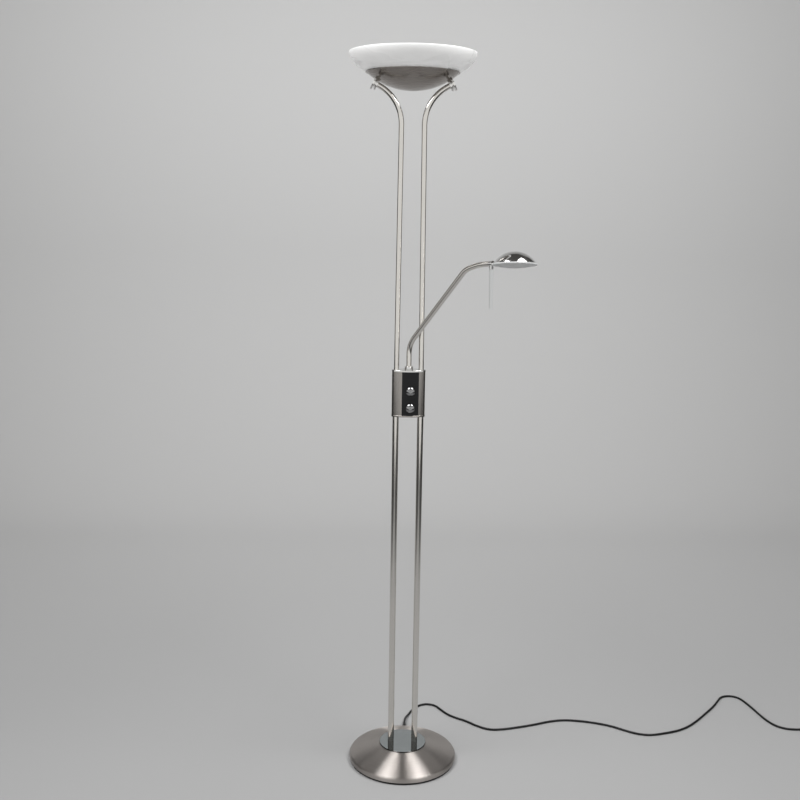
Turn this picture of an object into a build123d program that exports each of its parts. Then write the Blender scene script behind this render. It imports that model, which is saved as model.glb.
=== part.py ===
from build123d import *
from math import atan2, cos, degrees, pi, radians, sin, sqrt, tan
import os

# A torchiere floor lamp with a reading light: a round weighted base, two poles side by
# side, a dimmer box, two tubes that bend outwards to carry a metal dish with a glass
# bowl, and a swivelling arm with a small shade. Millimetres, +Z up, the front faces -Y,
# and the origin lies on the floor below the middle of the base.

# ------------------------------------------------------------------ driving dimensions
# base
base_diameter = 280
pad_inset = 3
pad_height = 6
rim_band_height = 7
cone_foot_inset = 3.5
cone_foot_rise = 13.5
cone_bulge = 2.2
cover_top_z = 46
cover_sheet = 1.2
plate_diameter = 122
plate_thickness = 2.5
plate_shoulder = 3
weight_gap = 1.0
weight_inset = 20
# poles and tubes
pole_spacing = 62
pole_diameter = 16
pole_wall = 1.2
tube_diameter = 13
tube_wall = 1.0
bend_x = 27.5
bend_drop = 126
bend_radius = 100
bend_turn = 62
tube_end_run = 5.5
# dimmer box
box_bottom_z = 928
box_height = 118
box_half_depth = 19
box_pole_cover = 10.5
box_sheet = 1.2
cap_thickness = 4
cap_overhang = 0.6
panel_width = 42
panel_shift = 4
panel_thickness = 3
knob_diameter = 23
knob_height = 13
knob_gap = 0.8
pointer_off_angle = 225
knob_z = {"upper": 995, "lower": 953}
shaft_diameter = 6
neck_wall = 1.8
# uplighter
glass_rim_z = 1808
glass_rim_radius = 155
glass_depth = 60
glass_thickness = 4
dish_axis_y = 54
dish_rim_drop = 46.7
dish_lip = 2.5
dish_rim_inset = 42.8  # inside the glass's rim
dish_depth = 41.5
dish_sheet = 1.0
glass_floor_radius = 40
glass_flare = 50
glass_rim_lean = 5
glass_rim_height = 36
flange_diameter = 29
cap_disc_diameter = 34
disc_thickness = 4
lug_thickness = 4.2
lug_width = 18
lamp_length = 118
lamp_lift = 27
lamp_radius = 5
lamp_end_radius = 3.5
lamp_end_length = 8
lamp_neck_length = 4
# reading arm
arm_azimuth = -39
arm_diameter = 13
arm_wall = 1.0
arm_upright = 63
arm_runs = (250, 39, 29.5)
arm_slope_angles = (50, 20, 6.5)
arm_bend_radii = (65, 50, 110)
# reading head
head_reach = 67.5
head_rise = 2.8
head_tilt = 9
shade_diameter = 98
shade_height = 28.5
shade_sheet = 1.0
diffuser_overhang = 3
diffuser_flat = 5
diffuser_thickness = 3
diffuser_bulge = 9.5
handle_diameter = 9.5
handle_length = 92
# cord
cord_diameter = 6
cord_exit_z = 12
cord_exit_angle = 4
relief_length = 22
coil_radius = 36
coil_gap = 0.6
plug_width = 34
plug_length = 38
pin_length = 19
pin_spacing = 19
pin_radius = 2.4
# running clearances, each on the radius
bore_clearance = 0.05
free_clearance = 0.2

os.makedirs("parts", exist_ok=True)


def keep(builder, name):
    builder.part.label = name
    export_step(builder.part, f"parts/{name}.step")


# ------------------------------------------------------------------------------- base
plate_radius = plate_diameter / 2
rim_radius = base_diameter / 2
pad_radius = rim_radius - pad_inset
cone_foot_radius = rim_radius - cone_foot_inset
cone_foot_z = pad_height + cone_foot_rise
cone_top_radius = plate_radius + plate_shoulder
weight_side_radius = rim_radius - weight_inset
plate_top_z = cover_top_z + plate_thickness
pole_x = pole_spacing / 2
bolt_radius = 4
bolt_head_radius = 8
bolt_head_height = 5
foot_plug_length = 22
pole_bore_radius = pole_diameter / 2 - pole_wall

with BuildPart() as base_pad:
    with BuildSketch():
        Circle(pad_radius)
    extrude(amount=pad_height)
    with Locations((-pole_x, 0, pad_height), (pole_x, 0, pad_height)):
        Hole(bolt_head_radius + 1)
keep(base_pad, "base_pad")

cone_run = cone_foot_radius - cone_top_radius
cone_rise = cover_top_z - cone_foot_z
cone_middle = (cone_top_radius + cone_run / 2, cone_foot_z + cone_rise / 2 + cone_bulge)


def cover_line():
    """The outside of the cover: a rim band, a rounded shoulder, a domed cone and a flat top."""
    band = Line((rim_radius, pad_height), (rim_radius, pad_height + rim_band_height))
    shoulder = TangentArc(band @ 1, (cone_foot_radius, cone_foot_z), tangent=band % 1)
    cone = ThreePointArc(shoulder @ 1, cone_middle, (cone_top_radius, cover_top_z))
    Line(cone @ 1, (bolt_radius, cover_top_z))


with BuildPart() as base_weight:
    with BuildSketch(Plane.XZ):
        with BuildLine():
            side_share = (cone_foot_radius - weight_side_radius) / cone_run
            side_z = cone_foot_z + cone_rise * side_share
            top_z = cover_top_z - cover_sheet
            drop = cover_sheet + weight_gap
            Polyline(
                (0, pad_height),
                (weight_side_radius, pad_height),
                (weight_side_radius, side_z - drop),
                (cone_top_radius - drop, top_z - weight_gap / 2),
                (cone_top_radius - 3 * drop, top_z),
                (0, top_z),
                close=True,
            )
        make_face()
    revolve(axis=Axis.Z)
    with BuildSketch(Plane.XY.offset(pad_height)):
        with Locations((-pole_x, 0), (pole_x, 0)):
            Circle(bolt_head_radius + 1)
    extrude(amount=bolt_head_height + 1, mode=Mode.SUBTRACT)
    with BuildSketch(Plane.XY.offset(pad_height)):
        with Locations((-pole_x, 0), (pole_x, 0)):
            Circle(bolt_radius + free_clearance)
    extrude(amount=cover_top_z, mode=Mode.SUBTRACT)
keep(base_weight, "base_weight")

# The cord leaves through the back of the rim band, a little to the right of the middle.
exit_out = Vector(sin(radians(cord_exit_angle)), cos(radians(cord_exit_angle)), 0)
exit_side = Vector(cos(radians(cord_exit_angle)), -sin(radians(cord_exit_angle)), 0)
gland_radius = cord_diameter * 0.75

with BuildPart() as base_cover:
    with BuildSketch(Plane.XZ):
        with BuildLine():
            cover_line()
            offset(amount=cover_sheet, side=Side.LEFT)
        make_face()
    revolve(axis=Axis.Z)
    with Locations((-pole_x, 0, cover_top_z), (pole_x, 0, cover_top_z)):
        Hole(bolt_radius + free_clearance, depth=2 * cover_sheet)
    with BuildSketch(Plane(origin=(0, 0, cord_exit_z), x_dir=exit_side, z_dir=exit_out)):
        Circle(gland_radius + free_clearance)
    extrude(amount=base_diameter, mode=Mode.SUBTRACT)
keep(base_cover, "base_cover")

with BuildPart() as base_top_plate:
    with BuildSketch(Plane.XY.offset(cover_top_z)):
        Circle(plate_radius)
    extrude(amount=plate_thickness)
    chamfer(base_top_plate.edges().group_by(Axis.Z)[-1], length=0.6)
    with Locations((-pole_x, 0, plate_top_z), (pole_x, 0, plate_top_z)):
        Hole(bolt_radius + free_clearance)
keep(base_top_plate, "base_top_plate")

with BuildPart() as pole_foot_plugs:
    with BuildSketch(Plane.XY.offset(plate_top_z)):
        with Locations((-pole_x, 0), (pole_x, 0)):
            Circle(pole_bore_radius - bore_clearance)
            Circle(bolt_radius, mode=Mode.SUBTRACT)
    extrude(amount=foot_plug_length)
keep(pole_foot_plugs, "pole_foot_plugs")

with BuildPart() as pole_foot_bolts:
    head_z = pad_height + 1
    with BuildSketch(Plane.XY.offset(head_z)):
        with Locations((-pole_x, 0), (pole_x, 0)):
            RegularPolygon(bolt_head_radius - 0.5, 6)
    extrude(amount=bolt_head_height)
    with BuildSketch(Plane.XY.offset(head_z)):
        with Locations((-pole_x, 0), (pole_x, 0)):
            Circle(bolt_radius)
    extrude(amount=plate_top_z + foot_plug_length - head_z - 2)
keep(pole_foot_bolts, "pole_foot_bolts")

# ------------------------------------------------------------------ poles and dimmer box
box_top_z = box_bottom_z + box_height
joint_z = box_bottom_z + box_height / 2
joiner_flange = 2
joiner_length = 24
tube_seat_gap = 0.05
dish_rim_z = glass_rim_z - dish_rim_drop
dish_rim_radius = glass_rim_radius - dish_rim_inset
bend_z = dish_rim_z - bend_drop
tube_foot_z = joint_z + joiner_flange + tube_seat_gap
tube_bore_radius = tube_diameter / 2 - tube_wall


def straight_tube(x, z_low, z_high, outer, wall):
    with BuildPart() as pipe:
        with BuildSketch(Plane.XY.offset(z_low)):
            with Locations((x, 0)):
                Circle(outer / 2)
                Circle(outer / 2 - wall, mode=Mode.SUBTRACT)
        extrude(amount=z_high - z_low)
    return pipe


for side, name in ((-1, "lower_pole_left"), (1, "lower_pole_right")):
    keep(straight_tube(side * pole_x, plate_top_z, joint_z, pole_diameter, pole_wall), name)

# A joiner stands in the pole, and the upper tube, which leans a little, stands on it with
# room around its spigot.
with BuildPart() as pole_joiners:
    steps = (
        (joint_z - joiner_length, joiner_length, pole_bore_radius - bore_clearance),
        (joint_z, joiner_flange, pole_diameter / 2),
        (joint_z + joiner_flange, joiner_length, tube_bore_radius - free_clearance),
    )
    for step_z, step_length, step_radius in steps:
        with BuildSketch(Plane.XY.offset(step_z)):
            with Locations((-pole_x, 0), (pole_x, 0)):
                Circle(step_radius)
                Circle(tube_bore_radius / 2, mode=Mode.SUBTRACT)
        extrude(amount=step_length)
keep(pole_joiners, "pole_joiners")


def box_outline():
    """The lens shape that wraps both poles: two flat arcs and two round ends, all tangent."""
    bulge = box_half_depth - box_pole_cover
    centre_y = (pole_x**2 - bulge**2) / (2 * bulge)
    reach = box_half_depth + centre_y
    lean = atan2(centre_y, pole_x)
    tx = reach * cos(lean)
    ty = centre_y - reach * sin(lean)
    end_x = pole_x + box_pole_cover
    ThreePointArc((-tx, ty), (0, -box_half_depth), (tx, ty))
    ThreePointArc((tx, ty), (end_x, 0), (tx, -ty))
    ThreePointArc((tx, -ty), (0, box_half_depth), (-tx, -ty))
    ThreePointArc((-tx, -ty), (-end_x, 0), (-tx, ty))


cap_low_z = box_bottom_z + cap_thickness
cap_high_z = box_top_z - cap_thickness

with BuildPart() as control_box_sleeve:
    with BuildSketch(Plane.XY.offset(cap_low_z)):
        with BuildLine():
            box_outline()
        make_face()
        offset(amount=-box_sheet, mode=Mode.SUBTRACT)
        with Locations((panel_shift, -box_half_depth)):
            Rectangle(panel_width, box_half_depth, mode=Mode.SUBTRACT)
    extrude(amount=cap_high_z - cap_low_z)
keep(control_box_sleeve, "control_box_sleeve")

with BuildPart() as control_box_front_panel:
    with BuildSketch(Plane.XY.offset(cap_low_z)):
        with BuildLine():
            box_outline()
        make_face()
        offset(amount=-panel_thickness, mode=Mode.SUBTRACT)
        with Locations((panel_shift, -box_half_depth)):
            Rectangle(panel_width - 2 * free_clearance, box_half_depth, mode=Mode.INTERSECT)
    extrude(amount=cap_high_z - cap_low_z)
    for z in knob_z.values():
        with BuildSketch(Plane.XZ):
            with Locations((panel_shift, z)):
                Circle(shaft_diameter / 2 + neck_wall + free_clearance)
        extrude(amount=2 * box_half_depth, mode=Mode.SUBTRACT)
keep(control_box_front_panel, "control_box_front_panel")

bush_radius = arm_diameter / 2 + 2.5
bush_depth = 18
bush_collar_height = 2
bush_collar_radius = bush_radius + 1.5


def box_cap(z_low, hole_x, hole_radius, middle_hole):
    with BuildPart() as cap:
        with BuildSketch(Plane.XY.offset(z_low)):
            with BuildLine():
                box_outline()
            make_face()
            offset(amount=cap_overhang)
            with Locations((-hole_x, 0), (hole_x, 0)):
                Circle(hole_radius, mode=Mode.SUBTRACT)
            if middle_hole:
                Circle(middle_hole, mode=Mode.SUBTRACT)
        extrude(amount=cap_thickness)
        chamfer(cap.edges().filter_by(GeomType.CIRCLE).group_by(Axis.Z)[-1], length=0.3)
    return cap


tube_hole_x = pole_x + (bend_x - pole_x) * (box_top_z - tube_foot_z) / (bend_z - tube_foot_z)
pole_hole_radius = pole_diameter / 2 + bore_clearance
tube_hole_radius = tube_diameter / 2 + free_clearance
keep(box_cap(box_bottom_z, pole_x, pole_hole_radius, 0), "control_box_bottom_cap")
keep(box_cap(cap_high_z, tube_hole_x, tube_hole_radius, bush_radius), "control_box_top_cap")

dimmer_width = 34
dimmer_front_y = -(box_half_depth - panel_thickness - 4)
dimmer_depth = 25
dimmer_height = 32
knob_back_y = -(box_half_depth + knob_gap)
knob_bore_depth = 9
shaft_back_y = dimmer_front_y + 8


def dimmer(z):
    """A rotary dimmer: its block, and the threaded neck that goes through the front panel."""
    with BuildPart() as module:
        with BuildSketch(Plane.XZ.offset(-dimmer_front_y)):
            with Locations((panel_shift, z)):
                RectangleRounded(dimmer_width, dimmer_height, 2)
        extrude(amount=-dimmer_depth)
        with BuildSketch(Plane.XZ.offset(-dimmer_front_y)):
            with Locations((panel_shift, z)):
                Circle(shaft_diameter / 2 + neck_wall)
        extrude(amount=-knob_back_y + dimmer_front_y - knob_gap / 2)
        with BuildSketch(Plane.XZ.offset(box_half_depth * 2)):
            with Locations((panel_shift, z)):
                Circle(shaft_diameter / 2 + bore_clearance)
        extrude(amount=-(box_half_depth * 2 + shaft_back_y + 2), mode=Mode.SUBTRACT)
    return module


def dimmer_shaft(z):
    with BuildPart() as shaft:
        with BuildSketch(Plane.XZ.offset(-shaft_back_y)):
            with Locations((panel_shift, z)):
                Circle(shaft_diameter / 2)
        extrude(amount=shaft_back_y - knob_back_y + knob_bore_depth)
    return shaft


def knob(z):
    """A turned knob: a straight skirt, a domed front and a pointer groove, turned to off."""
    radius = knob_diameter / 2
    with BuildPart() as dial:
        with BuildSketch(Plane.XY.offset(z)):
            with BuildLine():
                base = Line((panel_shift, knob_back_y), (panel_shift + radius - 0.6, knob_back_y))
                skirt = Polyline(
                    base @ 1,
                    (panel_shift + radius, knob_back_y - 0.6),
                    (panel_shift + radius, knob_back_y - knob_height * 0.6),
                )
                front = (panel_shift, knob_back_y - knob_height)
                ThreePointArc(
                    skirt @ 1,
                    (panel_shift + radius * 0.72, knob_back_y - knob_height * 0.89),
                    front,
                )
                Line(front, base @ 0)
            make_face()
        revolve(axis=Axis((panel_shift, 0, z), (0, -1, 0)))
        with BuildSketch(Plane.XZ.offset(-knob_back_y)):
            with Locations((panel_shift, z)):
                Circle(shaft_diameter / 2)
        extrude(amount=knob_bore_depth, mode=Mode.SUBTRACT)
        with BuildSketch(Plane.XZ.offset(-knob_back_y + knob_height)):
            with Locations((panel_shift, z)):
                with PolarLocations(radius * 0.62, 1, start_angle=pointer_off_angle):
                    Rectangle(radius * 0.5, 1.2)
        extrude(amount=-knob_height * 0.45, mode=Mode.SUBTRACT)
    return dial


for which, z in knob_z.items():
    keep(dimmer(z), f"dimmer_{which}")
    keep(dimmer_shaft(z), f"dimmer_shaft_{which}")
    keep(knob(z), f"knob_{which}")

# ---------------------------------------------------------- upper tubes and their clamps
# The right-hand tube, its flange disc, the lug on the dish and the outer disc share one
# axis, the straight end of the tube. The left-hand pieces are their mirror images.
with BuildLine(Plane.XZ) as tube_path:
    tube_rise = Line((pole_x, tube_foot_z), (bend_x, bend_z))
    tube_bend = JernArc(tube_rise @ 1, tube_rise % 1, radius=bend_radius, arc_size=-bend_turn)
    tube_end = Line(tube_bend @ 1, (tube_bend @ 1) + (tube_bend % 1) * tube_end_run)
clamp_origin = tube_end @ 1
clamp_axis = tube_end % 1
clamp_screw_radius = 3


def clamp_plane(distance):
    return Plane(origin=clamp_origin + clamp_axis * distance, x_dir=(0, 1, 0), z_dir=clamp_axis)


dish_radius = (dish_rim_radius**2 + dish_depth**2) / (2 * dish_depth)
dish_centre_z = dish_rim_z - dish_depth + dish_radius
dish_axis = Axis((0, dish_axis_y, 0), (0, 0, 1))

with BuildPart() as upper_tube:
    with BuildSketch(Plane(origin=tube_rise @ 0, z_dir=tube_rise % 0)):
        Circle(tube_diameter / 2)
        Circle(tube_bore_radius, mode=Mode.SUBTRACT)
    sweep(path=tube_path.line)

with BuildPart() as tube_flange:
    with BuildSketch(clamp_plane(0)):
        Circle(flange_diameter / 2)
        Circle(clamp_screw_radius, mode=Mode.SUBTRACT)
    extrude(amount=disc_thickness)

with BuildPart() as dish_lug:
    with BuildSketch(clamp_plane(disc_thickness)):
        with Locations(Location((0, 0), 45)):
            SlotCenterPoint((lug_width, 0), (2 * lug_width, 0), lug_width)
        Circle(clamp_screw_radius, mode=Mode.SUBTRACT)
    extrude(amount=lug_thickness)
    with Locations((0, dish_axis_y, dish_centre_z)):
        Sphere(dish_radius, mode=Mode.SUBTRACT)

with BuildPart() as clamp_cap:
    with BuildSketch(clamp_plane(disc_thickness + lug_thickness)):
        Circle(cap_disc_diameter / 2)
    extrude(amount=disc_thickness)
    with BuildSketch(clamp_plane(disc_thickness + lug_thickness)):
        Circle(clamp_screw_radius)
    extrude(amount=-(disc_thickness + lug_thickness + 8))

for piece, name in (
    (upper_tube, "upper_tube"),
    (tube_flange, "tube_flange"),
    (dish_lug, "dish_lug"),
    (clamp_cap, "clamp_cap"),
):
    keep(piece, f"{name}_right")
    with BuildPart() as mirrored:
        mirror(piece.part, about=Plane.YZ)
    keep(mirrored, f"{name}_left")

# --------------------------------------------------------------------------- uplighter
dish_plane = Plane.XZ.offset(-dish_axis_y)
dish_floor_z = dish_rim_z - dish_depth + dish_sheet
glass_floor_z = glass_rim_z - glass_depth
lamp_axis_z = glass_floor_z + lamp_lift
glass_hole_radius = 6
stud_radius = 5
support_radius = 22
washer_radius = 16
washer_thickness = 2
bracket_sheet = 1.5
bracket_width = 18
nut_height = 6
glass_top_floor_z = glass_floor_z + glass_thickness
bracket_z = glass_top_floor_z + washer_thickness
stud_top_z = bracket_z + bracket_sheet + nut_height + 1

with BuildPart() as dish:
    with BuildSketch(dish_plane):
        with BuildLine():
            half_angle = degrees(atan2(dish_rim_radius, dish_radius - dish_depth))
            bowl = CenterArc((0, dish_centre_z), dish_radius, -90, half_angle)
            Line(bowl @ 1, (bowl @ 1) + Vector(dish_lip, 0))
            offset(amount=dish_sheet, side=Side.LEFT)
        make_face()
    revolve(axis=dish_axis)
keep(dish, "dish")

with BuildPart() as glass_bowl:
    with BuildSketch(dish_plane):
        with BuildLine():
            floor = Line((glass_hole_radius, glass_floor_z), (glass_floor_radius, glass_floor_z))
            outside = Bezier(
                floor @ 1,
                (glass_floor_radius + glass_flare, glass_floor_z),
                (glass_rim_radius - glass_rim_lean, glass_rim_z - glass_rim_height),
                (glass_rim_radius, glass_rim_z),
            )
            rim = Line(outside @ 1, (glass_rim_radius - glass_thickness, glass_rim_z))
            inside = Bezier(
                rim @ 1,
                (glass_rim_radius - glass_rim_lean - glass_thickness,
                 glass_rim_z - glass_rim_height + glass_thickness * 0.6),
                (glass_floor_radius + glass_flare - glass_thickness * 0.4, glass_top_floor_z),
                (glass_floor_radius, glass_top_floor_z),
            )
            Polyline(inside @ 1, (glass_hole_radius, glass_top_floor_z), floor @ 0)
        make_face()
    revolve(axis=dish_axis)
    fillet(glass_bowl.edges().filter_by(GeomType.CIRCLE).group_by(Axis.Z)[-1], radius=1.2)
keep(glass_bowl, "glass_bowl")

with BuildPart() as glass_support:
    with BuildSketch(Plane(origin=(0, dish_axis_y, dish_floor_z))):
        Circle(support_radius)
        Circle(support_radius - 2, mode=Mode.SUBTRACT)
    extrude(amount=glass_floor_z - dish_floor_z)
    with Locations((0, dish_axis_y, dish_centre_z)):
        Sphere(dish_radius - dish_sheet, mode=Mode.INTERSECT)
keep(glass_support, "glass_support")

with BuildPart() as centre_stud:
    with BuildSketch(Plane(origin=(0, dish_axis_y, dish_floor_z))):
        Circle(stud_radius)
    extrude(amount=stud_top_z - dish_floor_z)
    with Locations((0, dish_axis_y, dish_centre_z)):
        Sphere(dish_radius - dish_sheet, mode=Mode.INTERSECT)
keep(centre_stud, "centre_stud")

with BuildPart() as glass_washer:
    with BuildSketch(Plane(origin=(0, dish_axis_y, glass_top_floor_z))):
        Circle(washer_radius)
        Circle(stud_radius, mode=Mode.SUBTRACT)
    extrude(amount=washer_thickness)
keep(glass_washer, "glass_washer")

with BuildPart() as centre_nut:
    with BuildSketch(Plane(origin=(0, dish_axis_y, bracket_z + bracket_sheet))):
        RegularPolygon(stud_radius * 1.75, 6)
        Circle(stud_radius, mode=Mode.SUBTRACT)
    extrude(amount=nut_height)
    chamfer(centre_nut.faces().sort_by(Axis.Z)[-1].outer_wire().edges(), length=0.6)
keep(centre_nut, "centre_nut")

socket_depth = 11
socket_size = 17
socket_overlap = 4
lamp_end_x = lamp_length / 2
lamp_neck_x = lamp_end_x - lamp_end_length
lamp_tube_x = lamp_neck_x - lamp_neck_length
socket_inner_x = lamp_end_x - socket_overlap
bracket_end_x = socket_inner_x + socket_depth
bracket_top_z = lamp_axis_z + socket_size / 2

with BuildPart() as lamp_bracket:
    with BuildSketch(Plane.XZ.offset(-dish_axis_y)):
        with BuildLine():
            FilletPolyline(
                (-bracket_end_x, bracket_top_z),
                (-bracket_end_x, bracket_z),
                (bracket_end_x, bracket_z),
                (bracket_end_x, bracket_top_z),
                radius=3,
            )
            offset(amount=bracket_sheet, side=Side.LEFT)
        make_face()
    extrude(amount=bracket_width / 2, both=True)
    with Locations((0, dish_axis_y, bracket_z + bracket_sheet)):
        Hole(stud_radius, depth=2 * bracket_sheet)
keep(lamp_bracket, "lamp_bracket")

with BuildPart() as lamp_sockets:
    inner_x = bracket_end_x - bracket_sheet - socket_depth
    for side in (-1, 1):
        with BuildSketch(Plane(origin=(side * inner_x, dish_axis_y, lamp_axis_z), z_dir=(side, 0, 0))):
            RectangleRounded(socket_size, socket_size, 3)
        extrude(amount=socket_depth)
        with BuildSketch(Plane(origin=(side * inner_x, dish_axis_y, lamp_axis_z), z_dir=(side, 0, 0))):
            Circle(lamp_end_radius + free_clearance)
        extrude(amount=lamp_end_x - inner_x, mode=Mode.SUBTRACT)
keep(lamp_sockets, "lamp_sockets")

with BuildPart() as halogen_tube:
    with BuildSketch(dish_plane):
        with BuildLine():
            Polyline(
                (-lamp_end_x, lamp_axis_z),
                (-lamp_end_x, lamp_axis_z + lamp_end_radius),
                (-lamp_neck_x, lamp_axis_z + lamp_end_radius),
                (-lamp_tube_x, lamp_axis_z + lamp_radius),
                (lamp_tube_x, lamp_axis_z + lamp_radius),
                (lamp_neck_x, lamp_axis_z + lamp_end_radius),
                (lamp_end_x, lamp_axis_z + lamp_end_radius),
                (lamp_end_x, lamp_axis_z),
                close=True,
            )
        make_face()
    revolve(axis=Axis((0, dish_axis_y, lamp_axis_z), (1, 0, 0)))
keep(halogen_tube, "halogen_tube")

# ------------------------------------------------------------------------- reading arm
arm_bore_radius = arm_diameter / 2 + bore_clearance
arm_foot_z = box_top_z - bush_depth - 6
collar_height = 6
collar_lift = 0.3
circlip_thickness = 1.5

with BuildPart() as arm_bush:
    with BuildSketch(Plane.XY.offset(box_top_z - bush_depth)):
        Circle(bush_radius)
        Circle(arm_bore_radius, mode=Mode.SUBTRACT)
    extrude(amount=bush_depth)
    with BuildSketch(Plane.XY.offset(box_top_z)):
        Circle(bush_collar_radius)
        Circle(arm_bore_radius, mode=Mode.SUBTRACT)
    extrude(amount=bush_collar_height)
keep(arm_bush, "arm_bush")


def arm_ring(z_low, outer, height):
    with BuildPart() as ring:
        with BuildSketch(Plane.XY.offset(z_low)):
            Circle(outer)
            Circle(arm_diameter / 2, mode=Mode.SUBTRACT)
        extrude(amount=height)
        outer_edges = ring.edges().filter_by(GeomType.CIRCLE).sort_by(SortBy.RADIUS)[-2:]
        chamfer(outer_edges, length=0.4)
    return ring


collar_z = box_top_z + bush_collar_height + collar_lift
keep(arm_ring(collar_z, bush_collar_radius, collar_height), "arm_collar")
circlip_z = box_top_z - bush_depth - collar_lift - circlip_thickness
keep(arm_ring(circlip_z, arm_diameter / 2 + 2.5, circlip_thickness), "arm_circlip")

heading = Vector(cos(radians(arm_azimuth)), sin(radians(arm_azimuth)), 0)
arm_plane = Plane(origin=(0, 0, 0), x_dir=heading, z_dir=heading.cross(Vector(0, 0, 1)))
arm_corners = [(0, arm_foot_z), (0, box_top_z + arm_upright)]
for run, slope in zip(arm_runs, arm_slope_angles):
    x, z = arm_corners[-1]
    arm_corners.append((x + run * cos(radians(slope)), z + run * sin(radians(slope))))

with BuildPart() as arm_tube:
    with BuildLine(arm_plane) as arm_path:
        FilletPolyline(*arm_corners, radius=arm_bend_radii)
    with BuildSketch(Plane(origin=(0, 0, arm_foot_z))):
        Circle(arm_diameter / 2)
        Circle(arm_diameter / 2 - arm_wall, mode=Mode.SUBTRACT)
    sweep(path=arm_path.line)
keep(arm_tube, "arm_tube")

# ------------------------------------------------------------------------ reading head
# The knuckle turns in the open end of the arm. The shade, its glass and the handle ride
# on the knuckle.
arm_end = arm_plane.from_local_coords(Vector(*arm_corners[-1]))
roll_axis = (arm_end - arm_plane.from_local_coords(Vector(*arm_corners[-2]))).normalized()
head_centre = arm_end + heading * head_reach + Vector(0, 0, head_rise)
head_up = Vector(0, sin(radians(head_tilt)), cos(radians(head_tilt)))
head_out = (roll_axis - head_up * roll_axis.dot(head_up)).normalized()
head_plane = Plane(origin=head_centre, x_dir=head_out, z_dir=head_up)
print("arm end", arm_end, "roll axis", roll_axis)

shade_radius = shade_diameter / 2
shade_sphere = (shade_radius**2 + shade_height**2) / (2 * shade_height)
shade_centre_h = shade_height - shade_sphere
spigot_radius = arm_diameter / 2 - arm_wall - bore_clearance
spigot_length = 14
barrel_radius = 6.5
barrel_length = 9
barrel_cone = 5
neck_radius = 4
neck_length = 42
barrel_start = 0.3
barrel_taper = degrees(atan2(barrel_radius - neck_radius, barrel_cone))


def head_axis():
    return Axis(head_plane.origin, head_plane.z_dir)


def head_profile_plane():
    """Sketch x runs outwards from the middle of the shade, sketch y runs up its axis."""
    normal = head_out.cross(head_up)
    return Plane(origin=head_plane.origin, x_dir=head_out, z_dir=normal)


def roll_plane(distance):
    return Plane(origin=arm_end + roll_axis * distance, x_dir=(0, 0, 1), z_dir=roll_axis)


with BuildPart() as head_shade:
    with BuildSketch(head_profile_plane()):
        with BuildLine():
            half = degrees(atan2(shade_radius, -shade_centre_h))
            CenterArc((0, shade_centre_h), shade_sphere, 90, -half)
            offset(amount=shade_sheet, side=Side.RIGHT)
        make_face()
    revolve(axis=head_axis())
    split(bisect_by=head_plane, keep=Keep.TOP)
    with BuildSketch(roll_plane(0)):
        Circle(neck_radius + free_clearance)
    extrude(amount=neck_length, mode=Mode.SUBTRACT)
keep(head_shade, "head_shade")

with BuildPart() as head_knuckle:
    with BuildSketch(roll_plane(-spigot_length)):
        Circle(spigot_radius)
    extrude(amount=spigot_length + barrel_start)
    with BuildSketch(roll_plane(barrel_start)):
        Circle(barrel_radius)
    extrude(amount=barrel_length)
    with BuildSketch(roll_plane(barrel_start + barrel_length)):
        Circle(barrel_radius)
    extrude(amount=barrel_cone, taper=barrel_taper)
    with BuildSketch(roll_plane(barrel_start + barrel_length)):
        Circle(neck_radius)
    extrude(amount=neck_length - barrel_length)
keep(head_knuckle, "head_knuckle")

reflector_radius = 30
reflector_top_h = shade_height - shade_sheet
reflector_depth = 10
reflector_sphere = (reflector_radius**2 + reflector_depth**2) / (2 * reflector_depth)
reflector_sheet = 0.8
holder_size = (16, 15, 13)
capsule_radius = 5.5
capsule_length = 30
neck_end = arm_end + roll_axis * (neck_length + barrel_start)
neck_local = head_plane.to_local_coords(neck_end)
holder_x = neck_local.X + holder_size[0] / 2 - 2

with BuildPart() as head_socket:
    with Locations(Plane(origin=head_plane.from_local_coords(Vector(holder_x, 0, neck_local.Z)),
                         x_dir=head_out, z_dir=head_up)):
        Box(*holder_size)
    with BuildSketch(roll_plane(0)):
        Circle(neck_radius)
    extrude(amount=neck_length + barrel_start, mode=Mode.SUBTRACT)
keep(head_socket, "head_socket")

with BuildPart() as head_bulb:
    start = head_plane.from_local_coords(Vector(holder_x + holder_size[0] / 2, 0, neck_local.Z))
    with BuildSketch(Plane(origin=start, x_dir=head_up, z_dir=head_out)):
        Circle(capsule_radius)
    extrude(amount=capsule_length)
    fillet(head_bulb.edges().sort_by(Axis(start, head_out))[-1], radius=capsule_radius - 0.6)
keep(head_bulb, "head_bulb")

with BuildPart() as head_reflector:
    with BuildSketch(head_profile_plane()):
        with BuildLine():
            half = degrees(atan2(reflector_radius, reflector_sphere - reflector_depth))
            CenterArc((0, reflector_top_h - reflector_sphere), reflector_sphere, 90, -half)
            offset(amount=reflector_sheet, side=Side.RIGHT)
        make_face()
    revolve(axis=head_axis())
keep(head_reflector, "head_reflector")

diffuser_radius = shade_radius + diffuser_overhang
diffuser_flat_radius = diffuser_radius - diffuser_flat
diffuser_sag = diffuser_bulge - diffuser_thickness
ring_height = 3
ring_width = 4

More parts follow.
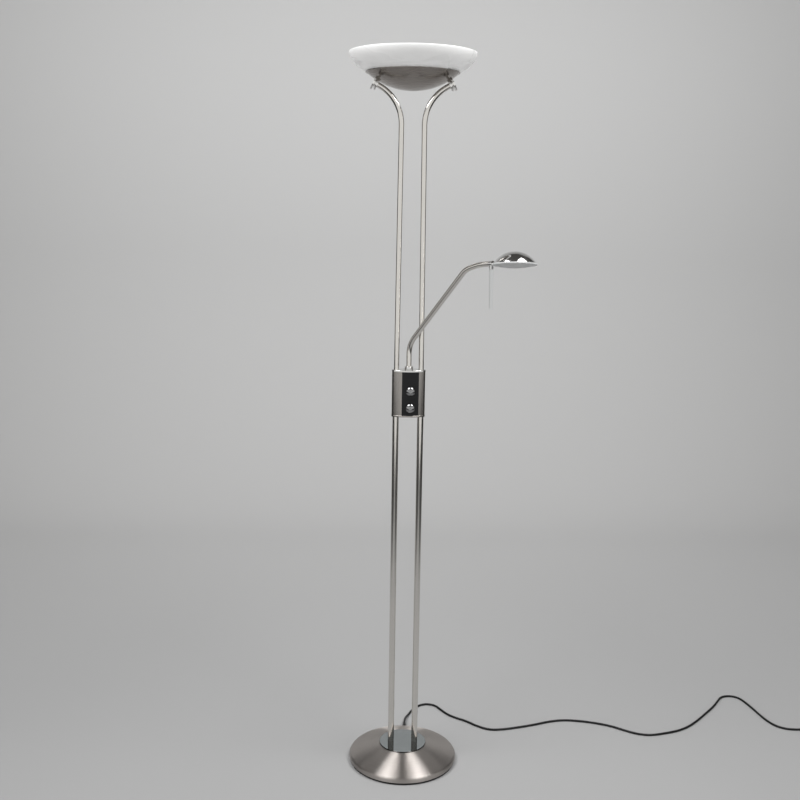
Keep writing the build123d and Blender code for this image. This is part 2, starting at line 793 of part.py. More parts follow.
# The glass is a shallow dish with a flat edge, a little wider than the shade it closes.
with BuildPart() as head_diffuser:
    with BuildSketch(head_profile_plane()):
        with BuildLine():
            edge = Line((diffuser_radius, -diffuser_thickness), (diffuser_flat_radius, -diffuser_thickness))
            radius = (diffuser_flat_radius**2 + diffuser_sag**2) / (2 * diffuser_sag)
            middle_x = diffuser_flat_radius / 2
            middle_h = radius - diffuser_bulge - sqrt(radius**2 - middle_x**2)
            ThreePointArc(edge @ 1, (middle_x, middle_h), (0, -diffuser_bulge))
            offset(amount=diffuser_thickness, side=Side.RIGHT)
        make_face()
    revolve(axis=head_axis())
keep(head_diffuser, "head_diffuser")

# The ring stands on the glass inside the shade's rim, with a gap where the neck comes in.
with BuildPart() as diffuser_ring:
    with BuildSketch(head_plane):
        Circle(shade_radius)
        Circle(shade_radius - shade_sheet - ring_width, mode=Mode.SUBTRACT)
    extrude(amount=ring_height)
    with Locations(Location(head_centre + head_up * shade_centre_h)):
        Sphere(shade_sphere - shade_sheet, mode=Mode.INTERSECT)
    with BuildSketch(head_plane):
        with Locations((-shade_radius, 0)):
            Rectangle(shade_radius, 2 * (neck_radius + ring_width))
    extrude(amount=ring_height, mode=Mode.SUBTRACT)
keep(diffuser_ring, "diffuser_ring")

ferrule_height = 8
ferrule_radius = 4.75
handle_origin = arm_end + roll_axis * (barrel_start + barrel_length * 0.55)
ferrule_start = barrel_radius - 1.5


def handle_plane(distance):
    return Plane(origin=handle_origin - head_up * distance, x_dir=head_out, z_dir=-head_up)


with BuildPart() as handle_ferrule:
    with BuildSketch(handle_plane(0)):
        Circle(ferrule_radius)
    extrude(amount=ferrule_start + ferrule_height)
    with BuildSketch(roll_plane(-1)):
        Circle(barrel_radius)
    extrude(amount=barrel_length * 2, mode=Mode.SUBTRACT)
keep(handle_ferrule, "handle_ferrule")

with BuildPart() as handle_rod:
    with BuildSketch(handle_plane(ferrule_start + ferrule_height)):
        Circle(handle_diameter / 2)
    with BuildSketch(handle_plane(ferrule_start + ferrule_height + handle_length)):
        Circle(handle_diameter / 2 - 0.8)
    loft()
    fillet(handle_rod.edges().sort_by(Axis(handle_origin, -head_up))[-1], radius=2.5)
keep(handle_rod, "handle_rod")

# -------------------------------------------------------------------------------- cord
gland_inner_y = rim_radius - 14
gland_flange = 3
gland_flange_radius = 7
cord_radius = cord_diameter / 2
cord_z = cord_radius + 0.1
cord_start_y = rim_radius + gland_flange + relief_length

with BuildPart() as cable_gland:
    with BuildSketch(Plane(origin=(0, 0, cord_exit_z), x_dir=exit_out, z_dir=exit_side)):
        with BuildLine():
            Polyline(
                (gland_inner_y, 0),
                (gland_inner_y, gland_radius),
                (rim_radius + 0.2, gland_radius),
                (rim_radius + 0.2, gland_flange_radius),
                (rim_radius + gland_flange, gland_flange_radius),
                (rim_radius + gland_flange, gland_radius + 0.8),
                (cord_start_y, cord_radius + 0.6),
                (cord_start_y, 0),
                close=True,
            )
        make_face()
    revolve(axis=Axis((0, 0, cord_exit_z), exit_out))
keep(cable_gland, "cable_gland")

coil_start = (1215, 145)
cord_start = exit_out * cord_start_y + Vector(0, 0, cord_exit_z)
cord_first_run = 18
cord_route = [
    tuple(cord_start),
    tuple(cord_start + exit_out * cord_first_run),
    (17, 207, 8),
    (26, 232, cord_z),
    (37, 260, cord_z),
    (53, 284, cord_z),
    (79, 298, cord_z),
    (106, 289, cord_z),
    (121, 262, cord_z),
    (138, 233, cord_z),
    (160, 212, cord_z),
    (188, 194, cord_z),
    (216, 164, cord_z),
    (250, 141, cord_z),
    (288, 144, cord_z),
    (335, 156, cord_z),
    (384, 172, cord_z),
    (428, 190, cord_z),
    (468, 198, cord_z),
    (512, 193, cord_z),
    (556, 181, cord_z),
    (598, 163, cord_z),
    (630, 138, cord_z),
    (662, 117, cord_z),
    (696, 109, cord_z),
    (738, 119, cord_z),
    (780, 133, cord_z),
    (818, 156, cord_z),
    (856, 193, cord_z),
    (894, 236, cord_z),
    (933, 281, cord_z),
    (955, 313, cord_z),
    (973, 340, cord_z),
    (1001, 349, cord_z),
    (1027, 336, cord_z),
    (1037, 302, cord_z),
    (1045, 264, cord_z),
    (1051, 226, cord_z),
    (1059, 190, cord_z),
    (1073, 160, cord_z),
    (1096, 144, cord_z),
    (1124, 140, cord_z),
    (1152, 142, cord_z),
    (1184, coil_start[1], cord_z),
    (coil_start[0], coil_start[1], cord_z),
]


def bend_radii(route):
    """Each corner's arc is as large as its shorter run allows."""
    radii = []
    for before, corner, after in zip(route, route[1:], route[2:]):
        arriving = Vector(*corner) - Vector(*before)
        leaving = Vector(*after) - Vector(*corner)
        turn = radians(arriving.get_angle(leaving))
        shorter = min(arriving.length, leaving.length)
        radii.append(0.45 * shorter / tan(turn / 2))
    return radii


with BuildPart() as cord_stretch:
    with BuildLine() as stretch_path:
        radii = bend_radii(cord_route)
        FilletPolyline(*cord_route, radius=radii)
    with BuildSketch(Plane(origin=cord_route[0], z_dir=exit_out)):
        Circle(cord_radius)
    sweep(path=stretch_path.line)
keep(cord_stretch, "cord_stretch")
stretch_length = sum(edge.length for edge in stretch_path.line.edges())
print("cord radii", [round(r) for r in radii])
print("stretch length", round(stretch_length), "volume ratio",
      round(cord_stretch.part.volume / (stretch_length * pi * cord_radius**2), 4))

# The coil winds inwards for one turn, climbs a layer in half a turn and winds
# out again. Each half turn is an arc, and the next one's radius differs by half a pitch.
coil_pitch = cord_diameter + coil_gap
coil_steps = ((-1, 0), (-1, 0), (1, 1), (1, 0))
tail_length = 50


def coil_arcs():
    x = coil_start[0] + cord_diameter
    y = coil_start[1]
    z = cord_z
    radius = coil_radius
    side = 1
    arcs = []
    for change, climb in coil_steps:
        y_end = y + side * 2 * radius
        z_end = z + climb * coil_pitch
        middle = (x + side * radius, (y + y_end) / 2, (z + z_end) / 2)
        arcs.append(((x, y, z), middle, (x, y_end, z_end)))
        y = y_end
        z = z_end
        radius += change * coil_pitch / 2
        side = -side
    return arcs


with BuildPart() as cord_coil:
    with BuildLine() as coil_path:
        arcs = coil_arcs()
        Line((coil_start[0], coil_start[1], cord_z), arcs[0][0])
        for arc in arcs:
            ThreePointArc(*arc)
        coil_exit = Vector(*arcs[-1][2])
        tail_end = coil_exit + Vector(tail_length, 0, 0)
        Line(coil_exit, tail_end)
    with BuildSketch(Plane(origin=(coil_start[0], coil_start[1], cord_z), z_dir=(1, 0, 0))):
        Circle(cord_radius)
    sweep(path=coil_path.line)
keep(cord_coil, "cord_coil")


def least_gap():
    """The least gap between stretches of the coil that are not neighbours along it."""
    wires = coil_path.line.wires()[0]
    count = 480
    points = [wires.position_at(i / count) for i in range(count + 1)]
    apart = int(count * 0.12)
    gap = 1e9
    for i in range(count + 1):
        for j in range(i + apart, count + 1):
            gap = min(gap, (points[i] - points[j]).length)
    return gap - cord_diameter


coil_length = sum(edge.length for edge in coil_path.line.edges())
print("coil length", round(coil_length), "volume ratio",
      round(cord_coil.part.volume / (coil_length * pi * cord_radius**2), 4))
print("least gap in the coil", round(least_gap(), 2))
print("whole cord", round(stretch_length + coil_length))

plug_thickness = 2 * (coil_exit.Z - 0.2)
plug_relief = 14
plug_start = tail_end + Vector(bore_clearance, 0, 0)
plug_shoulder_width = plug_width * 0.55
plug_shoulder_thickness = plug_thickness * 0.8
plug_corner = 7
plug_shoulder_corner = 5
plug_collar = 0.8


def plug_plane(distance):
    """Across the plug, with sketch x along its width."""
    return Plane(origin=plug_start + Vector(distance, 0, 0), x_dir=(0, 1, 0), z_dir=(1, 0, 0))


with BuildPart() as plug_body:
    with BuildSketch(plug_plane(plug_relief)):
        RectangleRounded(plug_shoulder_width, plug_shoulder_thickness, plug_shoulder_corner)
    for share in (0.5, 1):
        with BuildSketch(plug_plane(plug_relief + plug_length * share)):
            RectangleRounded(plug_width, plug_thickness, plug_corner)
    loft(ruled=True)
    with BuildSketch(plug_plane(0)):
        Circle(cord_radius + plug_collar)
    with BuildSketch(plug_plane(plug_relief + 1)):
        Circle(plug_shoulder_thickness * 0.4)
    loft(ruled=True)
keep(plug_body, "plug_body")

with BuildPart() as plug_pins:
    with BuildSketch(plug_plane(plug_relief + plug_length)):
        with Locations((-pin_spacing / 2, 0), (pin_spacing / 2, 0)):
            Circle(pin_radius)
    extrude(amount=pin_length)
    fillet(plug_pins.edges().group_by(Axis.X)[-1], radius=pin_radius / 2)
keep(plug_pins, "plug_pins")
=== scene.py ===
from math import cos, pi, radians, sin

import bpy
from mathutils import Matrix, Vector


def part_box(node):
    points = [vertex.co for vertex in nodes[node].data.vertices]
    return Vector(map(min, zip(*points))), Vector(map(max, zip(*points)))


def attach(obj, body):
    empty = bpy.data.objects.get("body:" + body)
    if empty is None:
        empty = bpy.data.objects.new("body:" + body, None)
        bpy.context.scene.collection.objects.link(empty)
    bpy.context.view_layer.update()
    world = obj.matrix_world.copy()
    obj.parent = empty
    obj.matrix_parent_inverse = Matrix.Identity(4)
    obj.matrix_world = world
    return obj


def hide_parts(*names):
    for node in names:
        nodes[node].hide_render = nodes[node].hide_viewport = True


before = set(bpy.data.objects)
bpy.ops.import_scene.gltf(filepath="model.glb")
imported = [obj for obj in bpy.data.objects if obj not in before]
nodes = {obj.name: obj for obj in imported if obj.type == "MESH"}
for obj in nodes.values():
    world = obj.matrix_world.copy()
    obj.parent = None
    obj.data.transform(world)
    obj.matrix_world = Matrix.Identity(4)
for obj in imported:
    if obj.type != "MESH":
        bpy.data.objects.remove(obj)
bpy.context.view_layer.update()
scene = bpy.context.scene

# Metres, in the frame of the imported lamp: +Z up, the front faces -Y, the origin lies on
# the floor below the middle of the base.
MM = 0.001


# ------------------------------------------------------------------------------ camera
def make_camera():
    """The photograph's camera: in front, 1.45 m up, looking down and leaning a little."""
    focal_pixels = 1046
    image_pixels = 800
    yaw = radians(2.0)
    pitch = radians(10.5)
    roll = radians(0.9)
    distance = 2.57
    height = 1.445
    side = 0.0207
    data = bpy.data.cameras.new("camera")
    data.sensor_width = 36.0
    data.lens = data.sensor_width * focal_pixels / image_pixels
    data.clip_start = 0.05
    camera = bpy.data.objects.new("camera", data)
    camera.location = (
        -side * cos(yaw) - distance * sin(yaw),
        side * sin(yaw) - distance * cos(yaw),
        height,
    )
    forward = Vector((sin(yaw) * cos(pitch), cos(yaw) * cos(pitch), -sin(pitch)))
    level = forward.to_track_quat("-Z", "Y").to_matrix().to_4x4()
    camera.matrix_world = Matrix.Translation(camera.location) @ level @ Matrix.Rotation(roll, 4, "Z")
    scene.collection.objects.link(camera)
    scene.camera = camera


make_camera()


# ------------------------------------------------------------------- material building
def new_material(name):
    material = bpy.data.materials.new(name)
    material.use_nodes = True
    return material, material.node_tree, material.node_tree.nodes["Principled BSDF"]


def add(tree, kind, inputs=None, **settings):
    """Adds a node. An input's value is a number, a colour or another node's socket."""
    node = tree.nodes.new(kind)
    for key, value in settings.items():
        setattr(node, key, value)
    for key, value in (inputs or {}).items():
        if isinstance(value, bpy.types.NodeSocket):
            tree.links.new(value, node.inputs[key])
        else:
            node.inputs[key].default_value = value
    return node


def place(tree, centre=(0, 0, 0)):
    """Position in the lamp's frame, measured from a point."""
    where = add(tree, "ShaderNodeTexCoord")
    inputs = {0: where.outputs["Object"], 1: centre}
    return add(tree, "ShaderNodeVectorMath", inputs, operation="SUBTRACT").outputs[0]


def calculate(tree, operation, *values):
    return add(tree, "ShaderNodeMath", dict(enumerate(values)), operation=operation).outputs[0]


def stretched(tree, vector, scale):
    return add(tree, "ShaderNodeVectorMath", {0: vector, 1: scale}, operation="MULTIPLY").outputs[0]


def around_axis(tree, vector, across, along, turns):
    """Coordinates for turned metal: fast across the grooves, slow around the axis."""
    split = add(tree, "ShaderNodeSeparateXYZ", {0: vector})
    flat = add(tree, "ShaderNodeCombineXYZ", {0: split.outputs[0], 1: split.outputs[1]})
    radius = add(tree, "ShaderNodeVectorMath", {0: flat.outputs[0]}, operation="LENGTH")
    angle = calculate(tree, "ARCTAN2", split.outputs[1], split.outputs[0])
    inputs = {0: radius.outputs["Value"], 1: angle, 2: split.outputs[2]}
    joined = add(tree, "ShaderNodeCombineXYZ", inputs)
    return stretched(tree, joined.outputs[0], (across, turns, along))


def noise(tree, vector, scale, detail=3.0, roughness=0.55):
    inputs = {"Vector": vector, "Scale": scale, "Detail": detail, "Roughness": roughness}
    return add(tree, "ShaderNodeTexNoise", inputs).outputs[0]


def spread(tree, value, low, high):
    """Spreads a noise value, which lies mostly in 0.3 to 0.7, over low to high."""
    inputs = {"Value": value, "From Min": 0.3, "From Max": 0.7, "To Min": low, "To Max": high}
    return add(tree, "ShaderNodeMapRange", inputs).outputs[0]


def tint(tree, factor, dark, light):
    mixer = add(tree, "ShaderNodeMix", data_type="RGBA")
    tree.links.new(factor, mixer.inputs["Factor"])
    mixer.inputs["A"].default_value = (*dark, 1)
    mixer.inputs["B"].default_value = (*light, 1)
    return mixer.outputs["Result"]


def bump(tree, height, strength, distance):
    inputs = {"Height": height, "Strength": strength, "Distance": distance}
    return add(tree, "ShaderNodeBump", inputs).outputs[0]


def ramp(tree, value, low, high):
    """Rises smoothly from 0 at low to 1 at high."""
    inputs = {"Value": value, "From Min": low, "From Max": high}
    return add(tree, "ShaderNodeMapRange", inputs, interpolation_type="SMOOTHSTEP").outputs[0]


def blend_colours(tree, factor, first, second):
    mixer = add(tree, "ShaderNodeMix", data_type="RGBA")
    tree.links.new(factor, mixer.inputs["Factor"])
    tree.links.new(first, mixer.inputs["A"])
    tree.links.new(second, mixer.inputs["B"])
    return mixer.outputs["Result"]


def mix_values(tree, first, second, share):
    inputs = {0: share, 2: first, 3: second}
    return add(tree, "ShaderNodeMix", inputs, data_type="FLOAT").outputs[0]


# --------------------------------------------------------------------------- materials
def turned_metal(name, dark, light, roughness, anisotropy, centre=(0, 0, 0)):
    """Satin metal brushed in circles about an upright axis, so that lamps draw fans on it."""
    material, tree, shader = new_material(name)
    here = place(tree, centre)
    fine = noise(tree, around_axis(tree, here, across=2600, along=2600, turns=2.0), 1.0, detail=2.0)
    broad = noise(tree, around_axis(tree, here, across=420, along=420, turns=1.2), 1.0, detail=3.0)
    cloud = noise(tree, here, 14.0, detail=3.0)
    grain = mix_values(tree, fine, broad, share=0.4)
    shade = mix_values(tree, grain, cloud, share=0.35)
    tree.links.new(tint(tree, spread(tree, shade, 0, 1), dark, light), shader.inputs["Base Color"])
    rough = spread(tree, grain, roughness - 0.05, roughness + 0.05)
    tree.links.new(rough, shader.inputs["Roughness"])
    relief = bump(tree, grain, strength=0.12, distance=0.06 * MM)
    tree.links.new(relief, shader.inputs["Normal"])
    shader.inputs["Metallic"].default_value = 1
    shader.inputs["Anisotropic"].default_value = anisotropy
    quarter_turn = 0.25  # turns the highlights outwards from the axis
    shader.inputs["Anisotropic Rotation"].default_value = quarter_turn
    tangent = add(tree, "ShaderNodeTangent", direction_type="RADIAL", axis="Z")
    tree.links.new(tangent.outputs[0], shader.inputs["Tangent"])
    return material


def satin_metal(name, dark, light, roughness):
    """Satin metal: fine upright polishing lines and a faint cloudiness."""
    material, tree, shader = new_material(name)
    here = place(tree)
    lines = noise(tree, stretched(tree, here, (1500, 1500, 12)), 1.0, detail=2.0)
    cloud = noise(tree, here, 9.0, detail=2.0)
    shade = mix_values(tree, lines, cloud, share=0.3)
    tree.links.new(tint(tree, spread(tree, shade, 0, 1), dark, light), shader.inputs["Base Color"])
    rough = spread(tree, shade, roughness - 0.03, roughness + 0.03)
    tree.links.new(rough, shader.inputs["Roughness"])
    relief = bump(tree, lines, strength=0.05, distance=0.03 * MM)
    tree.links.new(relief, shader.inputs["Normal"])
    shader.inputs["Metallic"].default_value = 1
    return material


def polished_metal(name, dark, light, roughness):
    """Mirror plating with the faint haze and wipe marks of a handled lamp."""
    material, tree, shader = new_material(name)
    here = place(tree)
    haze = noise(tree, here, 30.0, detail=4.0)
    wipes = noise(tree, stretched(tree, here, (60, 500, 500)), 1.0, detail=2.0)
    shade = mix_values(tree, haze, wipes, share=0.35)
    tree.links.new(tint(tree, spread(tree, shade, 0, 1), dark, light), shader.inputs["Base Color"])
    rough = spread(tree, shade, roughness * 0.6, roughness * 1.6)
    tree.links.new(rough, shader.inputs["Roughness"])
    shader.inputs["Metallic"].default_value = 1
    return material


def moulded(name, dark, light, roughness, grain_scale, grain_depth, specular=0.5):
    """Plastic, rubber, ceramic or cast iron: a fine grain and slight colour variation."""
    material, tree, shader = new_material(name)
    here = place(tree)
    grain = noise(tree, here, grain_scale, detail=2.0)
    cloud = noise(tree, here, 22.0, detail=3.0)
    tree.links.new(tint(tree, spread(tree, cloud, 0, 1), dark, light), shader.inputs["Base Color"])
    rough = spread(tree, grain, roughness - 0.04, roughness + 0.05)
    tree.links.new(rough, shader.inputs["Roughness"])
    relief = bump(tree, grain, strength=0.3, distance=grain_depth)
    tree.links.new(relief, shader.inputs["Normal"])
    shader.inputs["Specular IOR Level"].default_value = specular
    return material


def alabaster_glass(name, centre):
    """White blown glass with soft clouds that lie in level layers."""
    material, tree, shader = new_material(name)
    here = place(tree, centre)
    drift = noise(tree, here, 5.0, detail=2.0)
    layers = add(tree, "ShaderNodeCombineXYZ", {2: drift}).outputs[0]
    inputs = {0: stretched(tree, here, (1, 1, 7.0)), 1: layers}
    warped = add(tree, "ShaderNodeVectorMath", inputs, operation="ADD").outputs[0]
    swirl = ramp(tree, noise(tree, warped, 4.0, detail=2.0, roughness=0.4), 0.2, 0.8)
    colour = tint(tree, swirl, (0.84, 0.835, 0.83), (0.95, 0.95, 0.945))
    tree.links.new(colour, shader.inputs["Base Color"])
    tree.links.new(spread(tree, swirl, 0.24, 0.34), shader.inputs["Roughness"])
    shader.inputs["Subsurface Weight"].default_value = 0.5
    light_reach = 20 * MM
    shader.inputs["Subsurface Radius"].default_value = (light_reach, light_reach, light_reach)
    shader.inputs["Subsurface Scale"].default_value = 0.7
    return material


def clear_glass(name, colour, roughness, transmission=1.0, ior=1.5):
    """Clear or frosted glass with faint upright streaks."""
    material, tree, shader = new_material(name)
    here = place(tree)
    streaks = noise(tree, stretched(tree, here, (60, 60, 9)), 1.0, detail=2.0)
    rough = spread(tree, streaks, roughness * 0.7, roughness * 1.4)
    tree.links.new(rough, shader.inputs["Roughness"])
    paler = [min(1, c * 1.04) for c in colour]
    tree.links.new(tint(tree, spread(tree, streaks, 0, 1), colour, paler), shader.inputs["Base Color"])
    relief = bump(tree, streaks, strength=0.15, distance=0.2 * MM)
    tree.links.new(relief, shader.inputs["Normal"])
    shader.inputs["Transmission Weight"].default_value = transmission
    shader.inputs["IOR"].default_value = ior
    return material


def plate_metal(name, dark, light, roughness):
    """The poles' plate: polished, with painted shade on its bevelled edge: a dark colour that keeps the
    lamps' highlight off it.
    """
    bevel_width = 0.6 * MM
    blend = 0.1 * MM
    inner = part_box("base_top_plate")[1].x - bevel_width
    material = polished_metal(name, dark, light, roughness)
    tree = material.node_tree
    shader = tree.nodes["Principled BSDF"]
    face = shader.inputs["Base Color"].links[0].from_socket
    split = add(tree, "ShaderNodeSeparateXYZ", {0: place(tree)})
    flat = add(tree, "ShaderNodeCombineXYZ", {0: split.outputs[0], 1: split.outputs[1]})
    reach = add(tree, "ShaderNodeVectorMath", {0: flat.outputs[0]}, operation="LENGTH").outputs["Value"]
    # the bevel's mask, which carries the painted shade on the plate's edge
    bevel_shade_mask = ramp(tree, reach, inner - blend, inner + blend)
    grain = noise(tree, place(tree), 300.0, detail=2.0)
    # painted shade: the bevel is coloured dark so that it shows no highlight
    painted_dark_bevel = tint(tree, grain, (0.05, 0.048, 0.046), (0.09, 0.086, 0.082))
    tree.links.new(blend_colours(tree, bevel_shade_mask, face, painted_dark_bevel), shader.inputs["Base Color"])
    return material


dish_low, dish_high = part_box("dish")
dish_centre = ((dish_low.x + dish_high.x) / 2, (dish_low.y + dish_high.y) / 2, 0)

cover_metal = turned_metal(
    "cover_metal", (0.40, 0.37, 0.35), (0.50, 0.465, 0.44), roughness=0.37, anisotropy=1.0)
dish_metal = turned_metal(
    "dish_metal", (0.26, 0.235, 0.215), (0.34, 0.315, 0.295), roughness=0.26, anisotropy=0.5,
    centre=dish_centre)
sleeve_metal = satin_metal("sleeve_metal", (0.31, 0.292, 0.275), (0.38, 0.36, 0.342), roughness=0.2)
tube_metal = satin_metal("tube_metal", (0.66, 0.64, 0.605), (0.76, 0.735, 0.70), roughness=0.14)
mirror_metal = plate_metal("mirror_metal", (0.32, 0.345, 0.35), (0.37, 0.395, 0.40), roughness=0.07)
bright_metal = polished_metal(
    "bright_metal", (0.62, 0.615, 0.605), (0.72, 0.715, 0.705), roughness=0.08)
disc_metal = satin_metal("disc_metal", (0.74, 0.73, 0.71), (0.84, 0.83, 0.81), roughness=0.24)
zinc_metal = satin_metal("zinc_metal", (0.48, 0.48, 0.49), (0.62, 0.62, 0.63), roughness=0.38)
reflector_metal = polished_metal(
    "reflector_metal", (0.80, 0.80, 0.81), (0.88, 0.88, 0.89), roughness=0.18)
cast_iron = moulded(
    "cast_iron", (0.035, 0.035, 0.036), (0.06, 0.058, 0.056), roughness=0.7,
    grain_scale=900, grain_depth=0.4 * MM)
gloss_black = moulded(
    "gloss_black", (0.006, 0.006, 0.007), (0.011, 0.011, 0.012), roughness=0.12,
    grain_scale=120, grain_depth=0.02 * MM, specular=0.2)
black_plastic = moulded(
    "black_plastic", (0.012, 0.012, 0.012), (0.022, 0.022, 0.022), roughness=0.48,
    grain_scale=1500, grain_depth=0.12 * MM)
black_rubber = moulded(
    "black_rubber", (0.009, 0.009, 0.009), (0.017, 0.017, 0.018), roughness=0.55,
    grain_scale=1100, grain_depth=0.15 * MM)
cord_plastic = moulded(
    "cord_plastic", (0.005, 0.005, 0.0055), (0.009, 0.009, 0.0095), roughness=0.34,
    grain_scale=700, grain_depth=0.08 * MM, specular=0.3)
white_glass = alabaster_glass("white_glass", dish_centre)
frosted_glass = clear_glass("frosted_glass", (0.84, 0.85, 0.85), roughness=0.5, transmission=0.3)
lamp_glass = clear_glass("lamp_glass", (0.95, 0.97, 0.97), roughness=0.03)
handle_glass = clear_glass("handle_glass", (0.94, 0.955, 0.955), roughness=0.03, ior=1.2)
ceramic = moulded(
    "ceramic", (0.72, 0.70, 0.66), (0.82, 0.80, 0.77), roughness=0.55,
    grain_scale=1200, grain_depth=0.1 * MM)
# The knobs' chrome is coloured darker than the other chrome: painted shade for the dark room that their
# faces mirror.
knob_chrome_painted_dark = polished_metal("knob_chrome_painted_dark", (0.26, 0.26, 0.265), (0.34, 0.34, 0.345), roughness=0.1)
pin_metal = polished_metal("pin_metal", (0.62, 0.58, 0.48), (0.72, 0.68, 0.58), roughness=0.16)

FINISH = {
    "base_cover": cover_metal,
    "base_pad": black_rubber,
    "base_weight": cast_iron,
    "base_top_plate": mirror_metal,
    "pole_foot_plugs": zinc_metal,
    "pole_foot_bolts": zinc_metal,
    "pole_joiners": zinc_metal,
    "lower_pole_left": tube_metal,
    "lower_pole_right": tube_metal,
    "upper_tube_left": tube_metal,
    "upper_tube_right": tube_metal,
    "tube_flange_left": disc_metal,
    "tube_flange_right": disc_metal,
    "clamp_cap_left": disc_metal,
    "clamp_cap_right": disc_metal,
    "dish_lug_left": disc_metal,
    "dish_lug_right": disc_metal,
    "dish": dish_metal,
    "control_box_sleeve": sleeve_metal,
    "control_box_front_panel": gloss_black,
    "control_box_top_cap": bright_metal,
    "control_box_bottom_cap": sleeve_metal,
    "dimmer_upper": black_plastic,
    "dimmer_lower": black_plastic,
    "dimmer_shaft_upper": black_plastic,
    "dimmer_shaft_lower": black_plastic,
    "knob_upper": knob_chrome_painted_dark,
    "knob_lower": knob_chrome_painted_dark,
    "glass_bowl": white_glass,
    "glass_support": zinc_metal,
    "glass_washer": black_rubber,
    "centre_stud": zinc_metal,
    "centre_nut": zinc_metal,
    "lamp_bracket": zinc_metal,
    "lamp_sockets": ceramic,
    "halogen_tube": lamp_glass,
    "arm_bush": bright_metal,
    "arm_collar": bright_metal,
    "arm_circlip": zinc_metal,
    "arm_tube": tube_metal,
    "head_knuckle": bright_metal,
    "head_shade": bright_metal,
    "head_socket": ceramic,
    "head_bulb": lamp_glass,
    "head_reflector": reflector_metal,
    "head_diffuser": frosted_glass,
    "diffuser_ring": bright_metal,
    "handle_ferrule": bright_metal,
    "handle_rod": handle_glass,
    "cable_gland": black_rubber,
    "plug_body": black_rubber,
    "plug_pins": pin_metal,
}


def dress(obj, material):
    obj.data.materials.clear()
    obj.data.materials.append(material)


for name, material in FINISH.items():
    dress(nodes[name], material)

# -------------------------------------------------------------------------------- cord
CORD_DIAMETER = 6 * MM
CORD_Z = 3.1
CORD_START = (11.510, 164.598, 12)
COIL_START = (1215, 145)
COIL_RADIUS = 36
COIL_PITCH = 6.6
COIL_STEPS = ((-1, 0), (-1, 0), (1, 1), (1, 0))
COIL_TAIL = 50
POINTS_PER_HALF_TURN = 8

# millimetres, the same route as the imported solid's
CORD_ROUTE = (
    CORD_START,
    (12.765, 182.554, 12),
    (17, 207, 8),
    (26, 232, CORD_Z),
    (37, 260, CORD_Z),
    (53, 284, CORD_Z),
    (79, 298, CORD_Z),
    (106, 289, CORD_Z),
    (121, 262, CORD_Z),
    (138, 233, CORD_Z),
    (160, 212, CORD_Z),
    (188, 194, CORD_Z),
    (216, 164, CORD_Z),
    (250, 141, CORD_Z),
    (288, 144, CORD_Z),
    (335, 156, CORD_Z),
    (384, 172, CORD_Z),
    (428, 190, CORD_Z),
    (468, 198, CORD_Z),
    (512, 193, CORD_Z),
    (556, 181, CORD_Z),
    (598, 163, CORD_Z),
    (630, 138, CORD_Z),
    (662, 117, CORD_Z),
    (696, 109, CORD_Z),
    (738, 119, CORD_Z),
    (780, 133, CORD_Z),
    (818, 156, CORD_Z),
    (856, 193, CORD_Z),
    (894, 236, CORD_Z),
    (933, 281, CORD_Z),
    (955, 313, CORD_Z),
    (973, 340, CORD_Z),
    (1001, 349, CORD_Z),
    (1027, 336, CORD_Z),
    (1037, 302, CORD_Z),
    (1045, 264, CORD_Z),
    (1051, 226, CORD_Z),
    (1059, 190, CORD_Z),
    (1073, 160, CORD_Z),
    (1096, 144, CORD_Z),
    (1124, 140, CORD_Z),
    (1152, 142, CORD_Z),
    (1184, COIL_START[1], CORD_Z),
    (COIL_START[0], COIL_START[1], CORD_Z),
)


def coil_points():
    """The coil's two turns, as four half turns whose radii differ by half a pitch. It winds
    inwards on the floor, climbs one pitch in the third and winds outwards above."""
    x = COIL_START[0] + CORD_DIAMETER / MM
    y = COIL_START[1]
    z = CORD_Z
    radius = COIL_RADIUS
    side = 1
    step = pi / POINTS_PER_HALF_TURN
    points = []
    for change, climb in COIL_STEPS:
        outer = radius / cos(step / 2)
        for i in range(POINTS_PER_HALF_TURN):
            angle = (i + 0.5) * step
            share = (i + 0.5) / POINTS_PER_HALF_TURN
            points.append((
                x + side * outer * sin(angle),
                y + side * (radius - outer * cos(angle)),
                z + climb * COIL_PITCH * share,
            ))
        y += side * 2 * radius
        z += climb * COIL_PITCH
        radius += change * COIL_PITCH / 2
        side = -side
    points.append((x + COIL_TAIL / 2, y, z))
    points.append((x + COIL_TAIL, y, z))
    return points


def make_cord():
    data = bpy.data.curves.new("mains_cord", "CURVE")
    data.dimensions = "3D"
    data.bevel_depth = CORD_DIAMETER / 2
    data.bevel_resolution = 5
    data.resolution_u = 10
    data.use_fill_caps = True
    spline = data.splines.new("NURBS")
    points = [*CORD_ROUTE, *coil_points()]
    spline.points.add(len(points) - 1)
    for point, place_mm in zip(spline.points, points):
        point.co = (*(c * MM for c in place_mm), 1)
    spline.order_u = 3
    spline.use_endpoint_u = True
    cord = bpy.data.objects.new("mains_cord", data)
    scene.collection.objects.link(cord)
    dress(cord, cord_plastic)
    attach(cord, "stand")
    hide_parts("cord_stretch", "cord_coil")


make_cord()


# ------------------------------------------------------------------- floor and lighting
def camera_ray(tree):
    return add(tree, "ShaderNodeLightPath").outputs["Is Camera Ray"]


